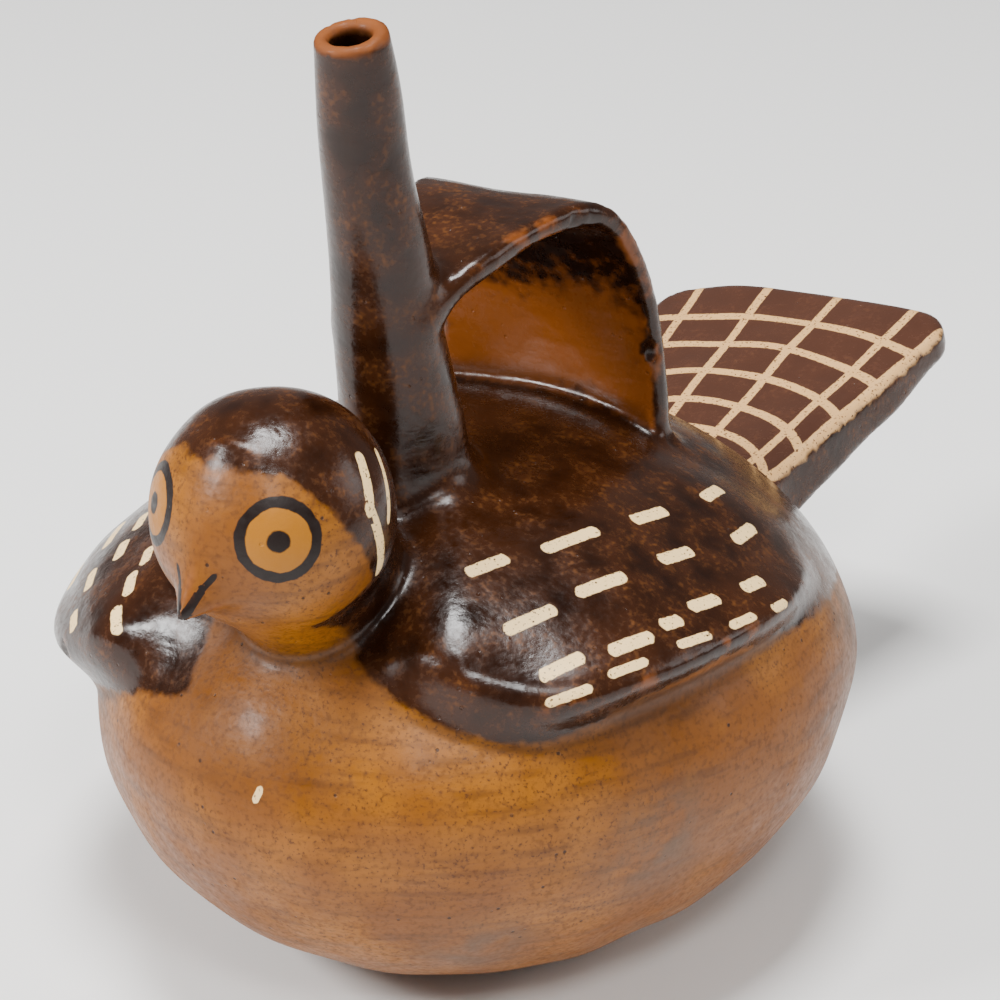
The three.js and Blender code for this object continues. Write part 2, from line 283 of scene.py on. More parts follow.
def strap_form(x, y, z, half_thick):
    """The strap: a plate bent along its centre line, wider towards the back and leaning with x."""
    shape = np.shape(x)
    x, y, z = (np.ravel(v) for v in (x, y, z))
    best = np.full(x.shape, 60.0)
    near = (np.abs(x) < 45) & (y > -52) & (y < 48) & (z > 68) & (z < 172)
    px, py, pz = x[near], y[near], z[near] - x[near] * STRAP["tilt"]
    close = np.full(px.shape, 60.0)
    line = strap_line()
    for (w0, y0, z0), (w1, y1, z1) in zip(line[:-1], line[1:]):
        ay, az = y1 - y0, z1 - z0
        t = np.clip(((py - y0) * ay + (pz - z0) * az) / (ay * ay + az * az), 0, 1)
        through = np.hypot(py - y0 - t * ay, pz - z0 - t * az)
        plate = rounded_plate(np.abs(px) - mix(w0, w1, t), through, half_thick, STRAP["edge_round"])
        close = np.minimum(close, plate)
    best[near] = close
    return best.reshape(shape)


def hand_unevenness(x, y, z, depth):
    """The soft unevenness of a pot shaped by hand: three crossed sine waves of 30 to 60 mm."""
    return depth * (np.sin(x / 6.1 + 1.3 * np.sin(z / 9.7)) * np.cos(y / 7.9 + 0.6)
                    + 0.8 * np.sin(z / 5.3 + y / 11.0) * np.cos(x / 9.1 + 2.1)
                    + 0.5 * np.sin((x + y) / 4.7 + z / 8.3))


def outer_form(x, y, z, sizes):
    """The outside: belly, head, tail, spout and strap joined with fillets, cut by the ground."""
    d = blend_min(body_form(x, y, z, sizes.wing_swell / MM, sizes.wing_lip / MM),
                  head_form(x, y, z), FILLET["head"])
    d = blend_min(d, tail_form(x, y, z), FILLET["tail"])
    d = blend_min(d, spout_form(x, y, z), FILLET["spout"])
    d = blend_min(d, strap_form(x, y, z, sizes.strap_thickness / MM / 2), FILLET["strap"])
    d = d + hand_unevenness(x, y, z, sizes.unevenness / MM)
    return blend_max(d, -z, FILLET["ground"])


def inner_form(x, y, z, sizes):
    """The hollow and the bore of the spout as one way through."""
    return blend_min(hollow_form(x, y, z, sizes.wall / MM),
                     bore_form(x, y, z, sizes.mouth_radius / MM), FILLET["bore"])


def clay_form(x, y, z, sizes, scoops=()):
    """The fired clay: the outside less the hollow, less a shallow scoop of a ball at each chip."""
    clay = blend_max(outer_form(x, y, z, sizes), -inner_form(x, y, z, sizes), 1.0)
    for (cx, cy, cz), radius in scoops:
        away = np.sqrt((x - cx) ** 2 + (y - cy) ** 2 + (z - cz) ** 2)
        clay = blend_max(clay, radius - away, 0.5)
    return clay


# ---------------------------------------------------------------- from a form to a closed mesh


def gradient(form, points, reach=0.05):
    """The slope of form at each point, by central differences over reach."""
    steps = np.eye(3) * reach
    return np.stack([form(*(points + s).T) - form(*(points - s).T) for s in steps], 1) / (2 * reach)


def unit(vectors):
    """The vectors with length 1."""
    return vectors / np.maximum(np.linalg.norm(vectors, axis=-1, keepdims=True), 1e-9)


def settle(form, points, passes, furthest=1.0):
    """Newton's steps along the slope, which bring the points onto the surface where form is 0."""
    for _ in range(passes):
        slope = gradient(form, points)
        step = -(form(*points.T) / np.maximum((slope ** 2).sum(1), 1e-6))[:, None] * slope
        length = np.linalg.norm(step, axis=1, keepdims=True)
        points = points + step * np.minimum(1, furthest / np.maximum(length, 1e-9))
    return points


def clay_net(form, low, high, step):
    """A closed net of four-sided faces where form is 0. Space is cut into cubes; each cube that the
    surface crosses gets one point, the mean of the places where it crosses the cube's edges, and
    each crossed edge joins the points of its four cubes by a face that looks outwards."""
    low = np.asarray(low, float)
    count = np.ceil((np.asarray(high) - low) / step).astype(int) + 1
    axes = [low[i] + step * np.arange(count[i]) for i in range(3)]
    values = form(*np.meshgrid(*axes, indexing="ij"))
    inside = values < 0
    corners = [(i, j, k) for i in (0, 1) for j in (0, 1) for k in (0, 1)]
    held = sum(inside[i:count[0] - 1 + i, j:count[1] - 1 + j, k:count[2] - 1 + k].astype(np.int8)
               for i, j, k in corners)
    cubes = np.argwhere((held > 0) & (held < 8))
    number = np.full(held.shape, -1)
    number[tuple(cubes.T)] = np.arange(len(cubes))
    total, crossings = np.zeros((len(cubes), 3)), np.zeros((len(cubes), 1))
    for start in corners:
        for axis in range(3):
            if start[axis]:
                continue
            end = np.array(start)
            end[axis] = 1
            va, vb = values[tuple((cubes + start).T)], values[tuple((cubes + end).T)]
            crossed = (va < 0) != (vb < 0)
            share = np.where(crossed, va / np.where(crossed, va - vb, 1), 0)
            place = np.array(start) + share[:, None] * (end - np.array(start))
            total += np.where(crossed[:, None], place, 0)
            crossings += crossed[:, None]
    points = low + step * (cubes + total / crossings)
    faces = []
    for axis in range(3):
        first, second = [slice(None)] * 3, [slice(None)] * 3
        first[axis], second[axis] = slice(0, -1), slice(1, None)
        here = inside[tuple(first)]
        edges = np.argwhere(here != inside[tuple(second)])
        e, f = [a for a in range(3) if a != axis]
        ring = []
        for back_e, back_f in ((1, 1), (0, 1), (0, 0), (1, 0)):
            cube = edges.copy()
            cube[:, e] -= back_e
            cube[:, f] -= back_f
            ring.append(number[tuple(cube.T)])
        ring = np.stack(ring, 1)
        turn = here[tuple(edges.T)] if axis != 1 else ~here[tuple(edges.T)]
        ring[~turn] = ring[~turn][:, ::-1]
        faces.append(ring)
    return points, np.concatenate(faces)


def facing_out(points, faces):
    """The faces with their order turned if the volume that they enclose comes out negative."""
    a, b, c, d = (points[faces[:, i]] for i in range(4))
    volume = (a * (np.cross(b, c) + np.cross(c, d))).sum()
    return faces if volume > 0 else faces[:, ::-1]


def thin_inner_wall(piece, inner, keep):
    """Merges edges on the unseen inner wall until a share keep of its points is left."""
    group = piece.vertex_groups.new(name="inner_wall")
    group.add(np.flatnonzero(inner).tolist(), 1.0, "REPLACE")
    thinning = piece.modifiers.new("thin inner wall", "DECIMATE")
    thinning.vertex_group = group.name
    thinning.ratio = 1 - inner.mean() * (1 - keep)
    graph = bpy.context.evaluated_depsgraph_get()
    thinned = bpy.data.meshes.new_from_object(piece.evaluated_get(graph), depsgraph=graph)
    old = piece.data
    piece.modifiers.clear()
    piece.vertex_groups.clear()
    piece.data = thinned
    bpy.data.meshes.remove(old)


# ---------------------------------------------------------------- where the painter's strokes lie

# Lower edge of the dark slip above the wing's lower edge, in mm, at degrees round from the breast
SLIP_EDGE_LEFT = ((13, 18, 27, 38, 51, 59, 72, 96, 121, 180),
                  (5.8, 2.7, -0.8, -1, 1.4, 3.6, 5, -0.8, -4, -4.5))
SLIP_EDGE_RIGHT = ((15, 25, 37, 51, 59, 72, 96, 121, 180), (-2.7, -2, 0.5, 1.4, 3.6, 5, -0.8, -4, -4.5))
BREAST = dict(half_width=16.0, back=-58.0)
# Edges of the cap, as shares of the head's radius, and half width of the ochre throat in mm
CAP = dict(crown=0.65, temple=0.17, rake=0.55, cheek=0.43, throat=14.0)
# Cream dashes on the wings: degrees round, mm above the lower edge, length in mm
DASHES_LEFT = ((38, 26.5, 9), (57, 28, 12.7), (80, 25.8, 10.2), (103, 23.1, 8.4),
               (44, 20.7, 10.9), (58, 22.2, 10.9), (77, 20.2, 9.6), (97, 16.9, 8.7),
               (47, 14, 9.1), (58, 14, 9.6), (66, 14.1, 5.1), (74, 13.9, 7.5), (86, 12.2, 6.9),
               (47, 9.7, 8.9), (56, 11.2, 8.4), (68, 10.7, 8), (78, 9.5, 6.9), (87, 7.9, 5.3))
DASHES_RIGHT = ((54, 26.4, 6.5), (47, 24.4, 6.5), (46, 19.8, 6.5), (41, 14, 5.5), (37, 24.6, 5.5),
                (33, 19.9, 6.5), (29, 13.3, 6)) + tuple(d for d in DASHES_LEFT if d[0] > 57)
DASH_HEADING = (0.37, 0.93, 0.0)
# A splash of cream on the breast
SPLASH = dict(place=(7.3, -87.0, 63.6), along=(0.3, 0.1, 0.95), half_length=1.4, half_width=0.75)
# Strokes on the head, given on the left side: ends and half width, cream ones first
CREAM_STROKES = (((18.4, -66.8, 128.2), (22.4, -69.8, 120.4), 1.15),
                 ((22.4, -69.8, 120.4), (21.8, -66.6, 106.8), 1.15),
                 ((17.3, -60.2, 126.7), (22.6, -64.6, 116.4), 0.7))
DARK_STROKES = (((0.4, -97.9, 104.2), (2.3, -94.7, 108.9), 0.85),
                ((2.3, -94.7, 108.9), (3.9, -93.1, 111.3), 0.6))
EYE = dict(place=(14.3, -86.9, 119.0), ring=7.0, ring_half=1.05, pupil=2.15, unround=1.0)
TAIL_LINES_ACROSS = (-0.74, -0.27, 0.2, 0.72)
TAIL_LINES_ALONG = (73.0, 62.0, 50.7, 39.5, 29.5)
TAIL_BORDER = dict(start=27.0, inset=1.1)
# Soft round patches, place and radius in mm: fire clouds on the belly, and golden patches of bare clay
# colour in the painted shade under the strap
SMOKE = (((67.1, -38.8, 47.8), 13), ((40.9, -62.2, 27.3), 11), ((64.3, 33.9, 72.7), 15),
         ((-60, 50, 40), 18))
UNDER_STRAP_GLOW = (((12, 24.8, 118), 14), ((-14, 25.9, 111), 16), ((22.6, 26.3, 106.1), 5))


def on_wing(around, above, right, clay):
    """The point of the clay's surface at that place on a wing, found by halving along its ray."""
    c, s = math.cos(WING["lean"]), math.sin(WING["lean"])
    level = above + wing_edge(around) - WING["pivot_z"]
    turn, low, high = math.radians(around), 0.0, 1.3
    for _ in range(30):
        share = (low + high) / 2
        side = share * math.sin(turn) * BODY["half_width"] * (-1 if right else 1)
        y = BODY["centre_y"] - share * math.cos(turn) * (BODY["front"] + BODY["back"]) / 2
        place = np.array([side * c - level * s, y, WING["pivot_z"] + side * s + level * c])
        low, high = (share, high) if clay(*place[:, None])[0] < 0 else (low, share)
    return place


def all_strokes(clay, dash_half_width):
    """Each stroke as middle, direction, half length, half width and 0 for cream or 1 for dark."""
    rows = []
    for right, dashes in ((False, DASHES_LEFT), (True, DASHES_RIGHT)):
        for around, above, length in dashes:
            turn_in = (0.42 * ease(60, 105, around), 0, 0)
            heading = (np.array(DASH_HEADING) - turn_in) * ((-1 if right else 1), 1, 1)
            place = on_wing(around, above, right, clay)
            normal = unit(gradient(clay, place[None]))[0]
            along = unit(heading - normal * (heading @ normal))
            half = dash_half_width * (0.68 if above < 11.5 else 1)
            rows.append([*place, *along, length / 2, half, 0])
    rows.append([*SPLASH["place"], *SPLASH["along"], SPLASH["half_length"], SPLASH["half_width"], 0])
    for kind, strokes in ((0, CREAM_STROKES), (1, DARK_STROKES)):
        for start, end, half in strokes:
            for mirror in ((1, 1, 1), (-1, 1, 1)):
                a, b = np.array(start) * mirror, np.array(end) * mirror
                rows.append([*(a + b) / 2, *unit(b - a), np.linalg.norm(b - a) / 2 + half, half, kind])
    return np.array(rows)


def stroke_places(corner_points, face_of_corner, face_middles, face_normals, strokes, kind):
    """For each face the nearest stroke of a kind, and for each of its corners the signed distance
    from that stroke's line over its half width, and the distance past its end."""
    best = np.full(len(face_middles), 1e6)
    across = np.full(len(corner_points), 9.0)
    past = np.full(len(corner_points), 9.0)
    for row in strokes[strokes[:, 8] == kind]:
        middle, along, half_length, half_width = row[:3], row[3:6], row[6], row[7]
        offset = face_middles - middle
        run = offset @ along
        aside = np.linalg.norm(offset - run[:, None] * along, axis=1)
        away = np.hypot(np.maximum(np.abs(run) - half_length, 0), aside)
        taken = (away < best) & (away < 6)
        best[taken] = away[taken]
        held = taken[face_of_corner]
        sideways = unit(np.cross(face_normals[face_of_corner[held]], along))
        local = corner_points[held] - middle
        across[held] = (local * sideways).sum(1) / half_width
        past[held] = np.abs(local @ along) - half_length
    return np.stack([across, past, np.zeros_like(past)], 1)


def stain(points, spots):
    """Sum of soft round stains, each 1 at its place and falling as a bell over its radius."""
    return sum(np.exp(-((points - place) ** 2).sum(1) / radius ** 2) for place, radius in spots)


def dark_slip(x, y, z, sizes):
    """Distance in mm inside the dark slip: above the wings' painted edge, off the breast, over the
    cap and the sides of the neck, and all over the tail."""
    side, around, above = wing_frame(x, y, z)
    edge = np.where(side > 0, np.interp(around, *SLIP_EDGE_LEFT), np.interp(around, *SLIP_EDGE_RIGHT))
    body = blend_min(above - edge, (np.abs(side) - BREAST["half_width"]) * 0.9, 6)
    body = np.where(y > BREAST["back"], above - edge, body)
    radius = HEAD["radius"] + 1
    v, w = (y - HEAD["y"]) / radius, (z - HEAD["z"]) / radius
    cap = radius * np.maximum(w - CAP["crown"], v + CAP["temple"] + CAP["rake"] * w)
    nape = np.minimum(radius * (0.72 * v - w - CAP["cheek"]), np.abs(x) - CAP["throat"])
    cheek_and_cap = np.where(w > -0.35, cap, np.maximum(np.minimum(cap, radius * (v - 0.05)), nape))
    head = ease(-3, 3, body_form(x, y, z, sizes.wing_swell / MM, sizes.wing_lip / MM)
                - head_form(x, y, z)) * (y < -36)
    tail = 3.0 - tail_form(x, y, z)
    return np.maximum(mix(body, cheek_and_cap, head), tail)


def paint(piece, sizes, clay, outside):
    """Writes on the mesh where each slip, stroke and stain lies, and where shade is painted in creases,
    under the strap and inside the bore, for the glaze material to read.
    """
    mesh = piece.data
    points = np.zeros(len(mesh.vertices) * 3)
    mesh.vertices.foreach_get("co", points)
    points = points.reshape(-1, 3) / MM
    corner_vertex = np.zeros(len(mesh.loops), int)
    mesh.loops.foreach_get("vertex_index", corner_vertex)
    sides = np.zeros(len(mesh.polygons), int)
    mesh.polygons.foreach_get("loop_total", sides)
    face_of_corner = np.repeat(np.arange(len(sides)), sides)
    corner_points = points[corner_vertex]
    starts = np.concatenate([[0], np.cumsum(sides)[:-1]])
    middles = np.add.reduceat(corner_points, starts) / sides[:, None]
    normals = np.zeros(len(sides) * 3)
    mesh.polygons.foreach_get("normal", normals)
    normals = normals.reshape(-1, 3)

    x, y, z = points.T
    slope = unit(gradient(clay, points))
    reach = 1.5
    bend = (sum(clay(*(points + s).T) + clay(*(points - s).T) for s in np.eye(3) * reach)
            - 6 * clay(x, y, z)) / reach ** 2
    to_gap = unit(np.array(GAP_MIDDLE) - points)
    # Painted shade: 1 on the faces that look into the gap under the strap, which the material paints
    # plain dark slip
    under = (ease(0.1, 0.4, (slope * to_gap).sum(1)) * (y > -20)
             * ease(4, 0, strap_form(x, y, z, sizes.strap_thickness / MM / 2)))
    height, off, length = spout_frame(x, y, z)
    marks = {
        "dark_slip": dark_slip(x, y, z, sizes),
        "edge_wear": ease(0.12, 0.5, bend) * ease(60, 40, y) * ease(-4, -1, outside(x, y, z)),
        # painted shade: 1 in concave creases, where the material lays dark slip as shade
        "hollow": ease(0.03, 0.22, -bend),
        "smoke": stain(points, SMOKE),
        "under_strap_shade": under,
        "under_glow": under * np.minimum(stain(points, UNDER_STRAP_GLOW), 1),
        "rim": ease(length - 1.6, length - 0.7, height) * (off < 12),
        # painted shade: 1 inside the bore and the hollow, which the material darkens with dark slip
        "inside": ease(-2.0, -3.0, outside(x, y, z)),
        "tail_top": ease(3, 1, tail_form(x, y, z)) * (slope[:, 2] > 0.35),
    }
    for name, values in marks.items():
        made = mesh.attributes.new(name, "FLOAT", "POINT")
        made.data.foreach_set("value", values.astype(np.float32))

    strokes = all_strokes(outside, sizes.dash_width / MM / 2)
    across, along, _, width, _ = tail_frame(*corner_points.T)
    share = across / width
    # The cross lines bow back at the sides, more so near the root
    run = along + (4.5 + (TAIL_LINES_ALONG[0] - along) * 0.19) * share ** 2
    face_share = (np.add.reduceat(share, starts) / sides)[:, None]
    face_run = (np.add.reduceat(run, starts) / sides)[:, None]
    line_share = np.array(TAIL_LINES_ACROSS)[np.abs(face_share - TAIL_LINES_ACROSS).argmin(1)]
    line_run = np.array(TAIL_LINES_ALONG)[np.abs(face_run - TAIL_LINES_ALONG).argmin(1)]
    border = np.where(run < TAIL_BORDER["start"], 9.0, width - TAIL_BORDER["inset"] - across)
    grid = np.stack([(share - line_share[face_of_corner]) * width, run - line_run[face_of_corner],
                     border], 1)
    surface = (corner_points, face_of_corner, middles, normals, strokes)
    for name, values in (("cream_strokes", stroke_places(*surface, 0)),
                         ("dark_strokes", stroke_places(*surface, 1)), ("tail_grid", grid)):
        made = mesh.attributes.new(name, "FLOAT_VECTOR", "CORNER")
        made.data.foreach_set("vector", values.astype(np.float32).ravel())


# ---------------------------------------------------------------- the finish

# Size in mm and detail of each noise: clouds of the firing, blotches and streaks of the brush, grit,
# specks of wear, which are drawn coarse so that they show, and the wander of a painted edge
NOISES = dict(clouds=(30, 3.0), blotch=(7, 6.0), grit=(1.2, 5.0), speck=(0.6, 2.0),
              streak=(1.0, 4.0), wander=(3.0, 4.0))
STREAK = (16, 16, 2.2)
PIT_SPACING = 3.6
# How unevenly the brush ran, in mm, and for the sides of a stroke in half widths
BRUSH = dict(wander=3.0, ragged_side=0.45, ragged_end=1.5, round_end=0.7, ragged_line=0.5,
             soft_edge=0.15)
# The masks for the creases, under the strap and inside carry painted shade; the others are the bottle's
# own colours and marks
MARKS = ("dark_slip", "edge_wear", "hollow", "smoke", "under_strap_shade", "under_glow", "rim", "inside",
         "tail_top")
# Settings that several nodes share: a smooth step, and a product with a sum
SMOOTH = dict(interpolation_type="SMOOTHSTEP")
FUSED = dict(operation="MULTIPLY_ADD")


def linear(hex_colour):
    """The linear colour of an sRGB hex value such as "a3652f"."""
    parts = [int(hex_colour[i:i + 2], 16) / 255 for i in (0, 2, 4)]
    return tuple(p / 12.92 if p <= 0.04045 else ((p + 0.055) / 1.055) ** 2.4 for p in parts)


def add(tree, kind, links=None, out=0, **settings):
    """Adds a shader node with its settings, and its links or values, and gives its output."""
    node = tree.nodes.new("ShaderNode" + kind)
    for name, value in settings.items():
        setattr(node, name, value)
    for key, value in (links or {}).items():
        if isinstance(value, bpy.types.NodeSocket):
            tree.links.new(value, node.inputs[key])
        else:
            node.inputs[key].default_value = value
    return None if out is None else node.outputs[out]


def lay_slips(tree, ground, coats):
    """Lays coats of colour one over another and gives the colour on top. A coat is its colour, its
    strength, a mask or None, and a pattern that breaks it up, with the pattern's values where the
    coat starts and where it is full, or None for an even coat."""
    for colour, strength, mask, pattern, start, full in coats:
        share = mask if pattern is None else add(
            tree, "MapRange", {0: pattern, 1: start, 2: full, 4: strength}, **SMOOTH)
        if pattern is None or mask is not None:
            share = add(tree, "Math", {0: mask, 1: strength if pattern is None else share},
                        operation="MULTIPLY")
        ground = add(tree, "Mix", {0: share, 6: ground, 7: colour}, out=2, data_type="RGBA")
    return ground


def stroke_mask(tree, name, wander, ragged):
    """1 on the brush strokes of that attribute: where the distance from the stroke's line, over its
    half width, is under 1, and the distance past its rounded end is under 0. The noises wander
    and ragged make the ends and the sides uneven."""
    strokes = add(tree, "Attribute", out=1, attribute_name=name)
    across, past = (add(tree, "SeparateXYZ", {0: strokes}, out=i) for i in (0, 1))
    sideways = add(tree, "Math", {0: across}, operation="ABSOLUTE")
    sideways = add(tree, "Math", {0: ragged, 1: BRUSH["ragged_side"], 2: sideways}, **FUSED)
    ends = add(tree, "Math", {0: wander, 1: BRUSH["ragged_end"], 2: past}, **FUSED)
    bulge = add(tree, "Math", {0: sideways, 1: sideways}, operation="MULTIPLY")
    ends = add(tree, "Math", {0: bulge, 1: BRUSH["round_end"], 2: ends}, **FUSED)
    on_line = add(tree, "MapRange", {0: sideways, 1: 1.12, 2: 0.92}, **SMOOTH)
    short_of_end = add(tree, "MapRange", {0: ends, 1: 0.6, 2: 0.2}, **SMOOTH)
    return add(tree, "Math", {0: on_line, 1: short_of_end}, operation="MULTIPLY")


def tail_grid_mask(tree, ragged, tail_top, speck, half_line):
    """1 on the tail's painted grid: where the least of three distances from its lines, in mm, is
    under half a line's width. Specks of wear break it up."""
    places = add(tree, "Attribute", out=1, attribute_name="tail_grid")
    nearest = None
    for channel in (0, 1, 2):
        away = add(tree, "SeparateXYZ", {0: places}, out=channel)
        away = add(tree, "Math", {0: away}, operation="ABSOLUTE")
        away = add(tree, "Math", {0: ragged, 1: BRUSH["ragged_line"], 2: away}, **FUSED)
        nearest = away if nearest is None else add(
            tree, "Math", {0: nearest, 1: away}, operation="MINIMUM")
    soft = BRUSH["soft_edge"]
    mask = add(tree, "MapRange", {0: nearest, 1: half_line + soft, 2: half_line - soft}, **SMOOTH)
    mask = add(tree, "Math", {0: mask, 1: tail_top}, operation="MULTIPLY")
    unworn = add(tree, "MapRange", {0: speck, 1: 0.3, 2: 0.42}, **SMOOTH)
    return add(tree, "Math", {0: mask, 1: unworn}, operation="MULTIPLY")


def eye_masks(tree, place, wander):
    """The eye's disc, and its black ring and pupil, by the distance from one place on each side of
    the head, so x is taken without its sign."""
    x, y, z = (add(tree, "SeparateXYZ", {0: place}, out=i) for i in (0, 1, 2))
    mirrored = add(tree, "CombineXYZ", {0: add(tree, "Math", {0: x}, operation="ABSOLUTE"), 1: y, 2: z})
    away = add(tree, "VectorMath", {0: mirrored, 1: EYE["place"]}, out=1, operation="DISTANCE")
    away = add(tree, "Math", {0: wander, 1: EYE["unround"], 2: away}, **FUSED)
    from_ring = add(tree, "Math", {0: away, 1: EYE["ring"]}, operation="SUBTRACT")
    from_ring = add(tree, "Math", {0: from_ring}, operation="ABSOLUTE")
    disc = add(tree, "MapRange", {0: away, 1: EYE["ring"], 2: EYE["ring"] - 0.5}, **SMOOTH)
    ring, pupil = (
        add(tree, "MapRange", {0: distance, 1: size + soft, 2: size - soft}, **SMOOTH)
        for distance, size, soft in ((from_ring, EYE["ring_half"], BRUSH["soft_edge"]),
                                     (away, EYE["pupil"], 0.2)))
    return disc, add(tree, "Math", {0: ring, 1: pupil}, operation="MAXIMUM")


def burnished_slipware(colours, grid_line_width):
    """Earthenware with iron and ochre slips, rubbed to a shine with a pebble before firing.

    The rubbing gives a soft gloss that breaks up in streaks, the slip is worn through to orange clay
    on edges and in specks, and the cream paint on top is matt and slightly ragged."""
    material = bpy.data.materials.new("burnished_slip_painted_earthenware")
    material.use_nodes = True
    t = material.node_tree
    t.nodes.clear()
    colour = {name: (*getattr(colours, name), 1) for name in BottleColours.__annotations__}
    mark = {name: add(t, "Attribute", out=2, attribute_name=name) for name in MARKS}
    place = add(t, "Mapping", {"Vector": add(t, "TexCoord", out=3), "Scale": (1 / MM,) * 3})
    drawn_out = add(t, "Mapping", {"Vector": place, "Scale": [1 / size for size in STREAK]})
    noise = {name: add(t, "TexNoise", {"Vector": drawn_out if name == "streak" else place,
                                       "Scale": 1 / size, "Detail": detail})
             for name, (size, detail) in NOISES.items()}
    clouds, blotch, grit, speck, streak = (
        noise[name] for name in ("clouds", "blotch", "grit", "speck", "streak"))
    wander, ragged = (add(t, "Math", {0: noise[name], 1: -0.5}, operation="ADD")
                      for name in ("wander", "grit"))

    in_blotches = add(t, "MapRange", {0: blotch, 1: 0.5, 2: 0.56}, **SMOOTH)
    pit_cells = add(t, "TexVoronoi", {"Vector": place, "Scale": 1 / PIT_SPACING})
    ochre = lay_slips(t, colour["ochre_slip"], (
        (colour["pale_ochre"], 1.0, None, clouds, 0.42, 0.68),
        (colour["deep_ochre"], 0.55, None, streak, 0.46, 0.74),
        (colour["pale_ochre"], 0.35, None, blotch, 0.55, 0.75),
        (colour["deep_ochre"], 0.5, None, grit, 0.46, 0.7),
        (colour["brown_slip"], 1.0, add(t, "MapRange", {0: clouds, 1: 0.3, 2: 0.7, 4: 0.7}, **SMOOTH),
         speck, 0.58, 0.7),
        (colour["smoke"], 0.95, mark["smoke"], blotch, 0.3, 0.65),
        (colour["dark_slip"], 0.8, in_blotches, pit_cells, 0.13, 0.07)))
    dark = lay_slips(t, colour["dark_slip"], (
        (colour["brown_slip"], 1.0, None, blotch, 0.22, 0.85),
        (colour["brown_slip"], 0.6, None, clouds, 0.45, 0.7),
        (colour["rubbed_slip"], 1.0, add(t, "MapRange", {0: blotch, 1: 0.4, 2: 0.68, 4: 0.6}, **SMOOTH),
         grit, 0.48, 0.72),
        (colour["dust"], 0.3, mark["smoke"], None, 0, 0),
        (colour["tail_slip"], 0.7, mark["tail_top"], None, 0, 0)))
    # Painted shade under the strap: plain dark slip on the faces that look into the gap, with golden
    # patches of bare clay colour where under_glow and the wander noise are high
    glow = add(t, "Math", {0: mark["under_glow"], 1: wander}, operation="ADD")
    under = lay_slips(t, colour["dark_slip"], ((colour["bare_clay"], 1.0, None, glow, 0.1, 0.65),))
    dark = lay_slips(t, dark, ((under, 1.0, mark["under_strap_shade"], None, 0, 0),))

    edge = add(t, "Math", {0: wander, 1: BRUSH["wander"], 2: mark["dark_slip"]}, **FUSED)
    unworn = add(t, "MapRange", {0: speck, 1: 0.28, 2: 0.4}, **SMOOTH)
    cream = add(t, "Math", {0: stroke_mask(t, "cream_strokes", wander, ragged), 1: unworn},
                operation="MULTIPLY")
    grid = tail_grid_mask(t, ragged, mark["tail_top"], speck, grid_line_width / MM / 2)
    disc, ring_and_pupil = eye_masks(t, place, wander)
    black = add(t, "Math", {0: ring_and_pupil, 1: stroke_mask(t, "dark_strokes", wander, ragged)},
                operation="MAXIMUM")
    surface = lay_slips(t, ochre, (
        (dark, 1.0, None, edge, -0.9, 0.8),
        (colour["cream_paint"], 1.0, cream, None, 0, 0),
        (colour["aged_cream"], 1.0, grid, None, 0, 0),
        (colour["iris_ochre"], 1.0, disc, None, 0, 0),
        (colour["black_line"], 1.0, black, None, 0, 0),
        (colour["bare_clay"], 0.7, mark["edge_wear"], blotch, 0.5, 0.66),
        # painted shade: dark slip laid in the concave creases
        (colour["dark_slip"], 0.6, mark["hollow"], None, 0, 0),
        (colour["bare_clay"], 0.8, mark["rim"], None, 0, 0),
        # painted shade: dark slip laid inside the bore and the hollow
        (colour["dark_slip"], 0.7, mark["inside"], None, 0, 0)))

    matt = add(t, "Math", {0: cream, 1: grid}, operation="MAXIMUM")
    rough = add(t, "MapRange", {0: blotch, 1: 0.3, 2: 0.7, 3: 0.16, 4: 0.34})
    rough = add(t, "Math", {0: ragged, 1: 0.35, 2: rough}, **FUSED)
    on_ochre = add(t, "MapRange", {0: edge, 1: 0.8, 2: -0.9}, **SMOOTH)
    for dull_place, duller in ((on_ochre, 0.22), (matt, 0.2), (mark["rim"], 0.4)):
        rough = add(t, "Math", {0: dull_place, 1: duller, 2: rough}, use_clamp=True, **FUSED)

    pit = add(t, "MapRange", {0: pit_cells, 1: 0.13, 2: 0.07}, **SMOOTH)
    pit = add(t, "Math", {0: pit, 1: in_blotches}, operation="MULTIPLY")
    relief = add(t, "Bump", {"Strength": 0.5, "Distance": 0.6 * MM, "Height": blotch})
    for height, strength, depth, sunk in ((streak, 0.3, 0.25, False), (grit, 0.25, 0.12, False),
                                          (pit, 0.6, 0.25, True)):
        relief = add(t, "Bump", {"Strength": strength, "Distance": depth * MM, "Height": height,
                                 "Normal": relief}, invert=sunk)
    clay = add(t, "BsdfPrincipled", {"Base Color": surface, "Roughness": rough, "IOR": 1.5,
                                     "Specular IOR Level": 0.27, "Normal": relief,
                                     "Coat Weight": 0.04, "Coat Roughness": 0.16})
    add(t, "OutputMaterial", {"Surface": clay}, out=None)
    return material


def plain_material(name, colour, roughness):
    """An even matt surface of one colour."""
    material = bpy.data.materials.new(name)
    material.use_nodes = True
    shader = material.node_tree.nodes["Principled BSDF"]
    shader.inputs["Base Color"].default_value = (*colour, 1)
    shader.inputs["Roughness"].default_value = roughness
    return material


# ---------------------------------------------------------------- the add-on


def length_setting(name, description, default):
    return bpy.props.FloatProperty(name=name, description=description, default=default * MM,
                                   unit="LENGTH", subtype="DISTANCE", precision=4)


def colour_setting(name, description, hex_colour):
    return bpy.props.FloatVectorProperty(name=name, description=description, subtype="COLOR", size=3,
                                         min=0, max=1, default=linear(hex_colour))


